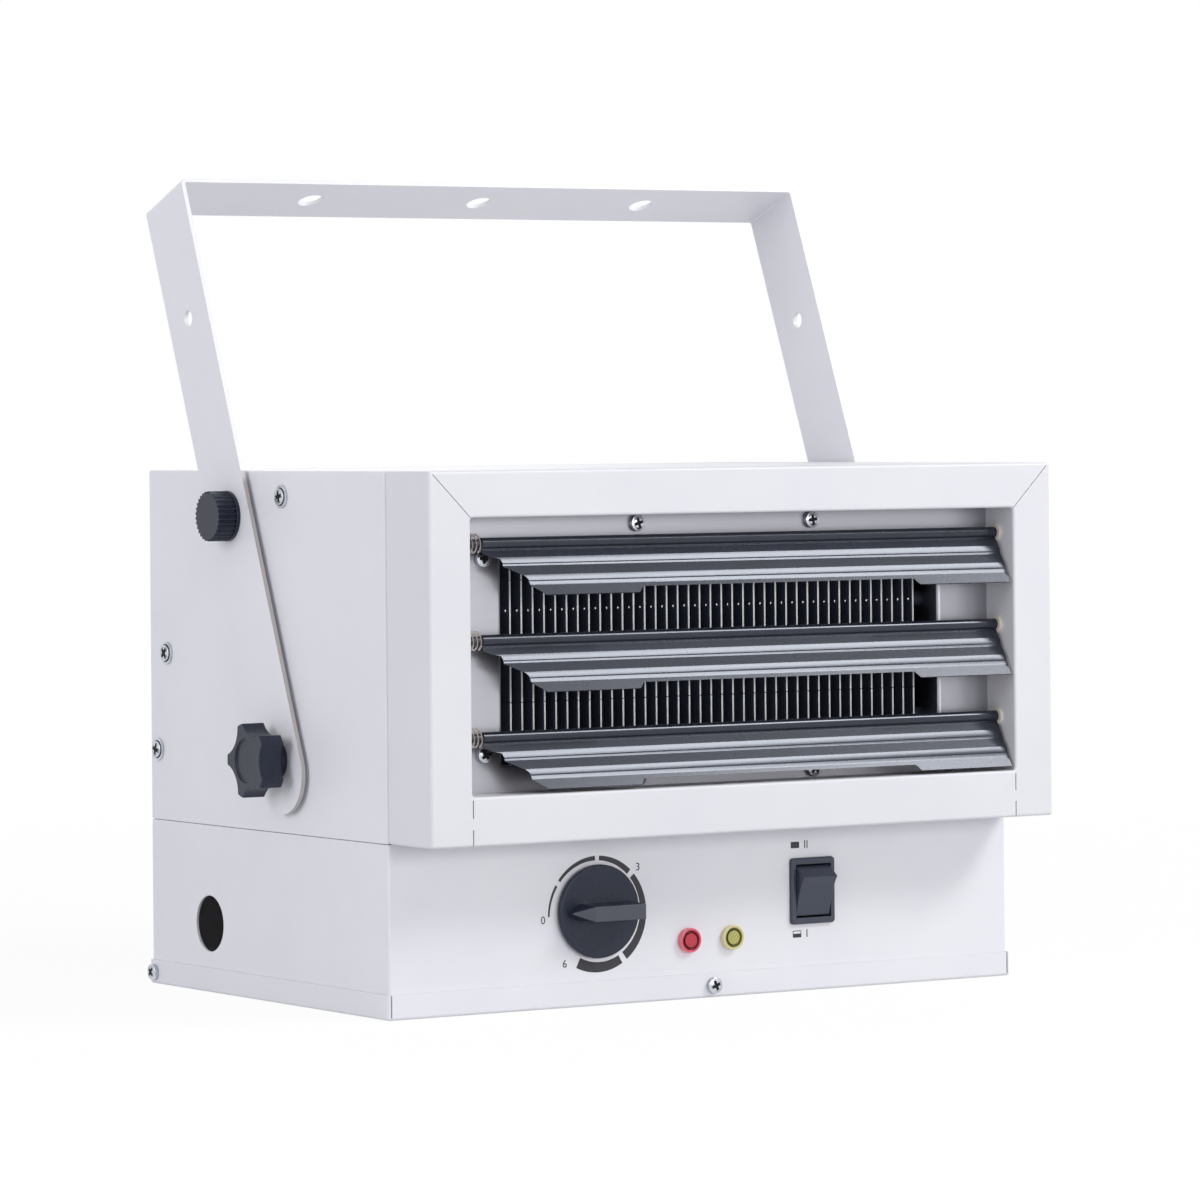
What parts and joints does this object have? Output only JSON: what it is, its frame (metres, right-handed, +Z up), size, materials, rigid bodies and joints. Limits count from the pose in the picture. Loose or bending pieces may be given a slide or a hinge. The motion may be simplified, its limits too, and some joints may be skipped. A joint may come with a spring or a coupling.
{
  "type": "ceiling mounted fan heater",
  "caption": "Box-shaped ceiling fan heater with tilting strap bracket, adjustable louvers over finned elements, rear axial fan and a control panel with thermostat, lamps and rocker switch.",
  "frame": {"origin": "centre of the flat underside of the base tray, with the heater upright", "axes": "+X to the right seen from the front, +Y to the back, +Z up; the louvers face -Y"},
  "size_m": [0.405, 0.2779, 0.4032],
  "materials": {
    "amber_lens": "translucent olive amber plastic",
    "bearing_steel": "turned steel",
    "black_plastic": "moulded, fine grain",
    "black_rubber": "smooth",
    "block_plastic": "moulded nylon",
    "cast_motor": "cast casing",
    "ceramic": "glazed ceramic",
    "copper": "copper",
    "element_black": "matt black fins with bare front edges",
    "fan_aluminium": "pressed",
    "galvanised_steel": "galvanised sheet",
    "guard_chrome": "plated wire",
    "knob_plastic": "moulded, satin",
    "lead_insulation": "silicone insulation",
    "liner_steel": "bright sheet, slightly darkened",
    "louver_paint": "charcoal metallic",
    "red_lens": "translucent red plastic",
    "spring_steel": "bright wire",
    "stator_laminations": "stacked laminations",
    "tab_brass": "stamped",
    "thermostat_plastic": "moulded phenolic",
    "white_steel": "fine satin powder coat",
    "zinc": "bright zinc plated"
  },
  "bodies": {
    "housing": {"cabinet_shell": "white_steel", "front_frame": "white_steel", "back_panel": "white_steel", "control_box": "white_steel", "bottom_tray": "white_steel", "partition_plate": "galvanised_steel", "liner_plate": "liner_steel", "element_housing": "liner_steel", "heating_element_1": "element_black", "heating_element_2": "element_black", "heating_element_3": "element_black", "heating_element_4": "element_black", "terminal_insulators": "ceramic", "bus_bars": "copper", "terminal_nuts": "zinc", "fan_shroud": "galvanised_steel", "fan_guard": "guard_chrome", "motor_mount": "galvanised_steel", "motor_casing": "cast_motor", "motor_end_cap": "cast_motor", "motor_stator": "stator_laminations", "motor_bearings": "bearing_steel", "motor_screws": "zinc", "thermostat_body": "thermostat_plastic", "thermostat_bulb": "copper", "limit_switch": "black_plastic", "red_lens": "red_lens", "amber_lens": "amber_lens", "lamp_holders": "black_plastic", "switch_housing": "black_plastic", "switch_tabs": "tab_brass", "terminal_block": "block_plastic", "ground_stud": "zinc", "wire_grommet": "black_rubber", "internal_leads": "lead_insulation", "pivot_studs": "zinc", "pivot_washers": "black_rubber", "louver_bushes": "block_plastic", "side_screws": "zinc", "base_screws": "zinc", "liner_screws": "zinc", "frame_screws": "zinc", "guard_screws": "zinc", "louver_rods": "bearing_steel"},
    "bracket": {"mounting_bracket": "white_steel"},
    "star_knob_left": {"star_knob_left": "knob_plastic"},
    "star_knob_right": {"star_knob_right": "knob_plastic"},
    "thumb_screw_left": {"thumb_screw_left": "knob_plastic"},
    "thumb_screw_right": {"thumb_screw_right": "knob_plastic"},
    "louver_upper": {"louver_upper": "louver_paint", "louver_spring_upper": "spring_steel"},
    "louver_middle": {"louver_middle": "louver_paint", "louver_spring_middle": "spring_steel"},
    "louver_lower": {"louver_lower": "louver_paint", "louver_spring_lower": "spring_steel"},
    "fan": {"fan_blades": "fan_aluminium", "motor_shaft": "bearing_steel"},
    "thermostat_dial": {"thermostat_knob": "knob_plastic", "thermostat_spindle": "bearing_steel"},
    "rocker": {"switch_rocker": "black_plastic"}
  },
  "joints": [
    {"name": "bracket_tilt", "type": "hinge", "parent": "housing", "child": "bracket", "pos_m": [0, -0.0205, 0.1185], "axis": [1, 0, 0], "range_deg": [-33, 8]},
    {"name": "star_knob_left_turn", "type": "hinge", "parent": "housing", "child": "star_knob_left", "pos_m": [-0.185, -0.0205, 0.1185], "axis": [-1, 0, 0], "continuous": true},
    {"name": "star_knob_right_turn", "type": "hinge", "parent": "housing", "child": "star_knob_right", "pos_m": [0.185, -0.0205, 0.1185], "axis": [1, 0, 0], "continuous": true},
    {"name": "thumb_screw_left_turn", "type": "hinge", "parent": "bracket", "child": "thumb_screw_left", "pos_m": [-0.185, 0.02685, 0.2357], "axis": [-1, 0, 0], "continuous": true},
    {"name": "thumb_screw_right_turn", "type": "hinge", "parent": "bracket", "child": "thumb_screw_right", "pos_m": [0.185, 0.02685, 0.2357], "axis": [1, 0, 0], "continuous": true},
    {"name": "louver_upper_tilt", "type": "hinge", "parent": "housing", "child": "louver_upper", "pos_m": [0, -0.1425, 0.2236], "axis": [1, 0, 0], "range_deg": [-55, 40]},
    {"name": "louver_middle_tilt", "type": "hinge", "parent": "housing", "child": "louver_middle", "pos_m": [0, -0.1425, 0.178], "axis": [1, 0, 0], "range_deg": [-55, 40]},
    {"name": "louver_lower_tilt", "type": "hinge", "parent": "housing", "child": "louver_lower", "pos_m": [0, -0.1425, 0.1324], "axis": [1, 0, 0], "range_deg": [-55, 8]},
    {"name": "fan_spin", "type": "hinge", "parent": "housing", "child": "fan", "pos_m": [0, 0, 0.1702], "axis": [0, 1, 0], "continuous": true},
    {"name": "thermostat_turn", "type": "hinge", "parent": "housing", "child": "thermostat_dial", "pos_m": [-0.0645, -0.1165, 0.0454], "axis": [0, 1, 0], "range_deg": [0, 290]},
    {"name": "rocker_tip", "type": "hinge", "parent": "housing", "child": "rocker", "pos_m": [0.0612, -0.1163, 0.0489], "axis": [1, 0, 0], "range_deg": [-26, 0]}
  ]
}
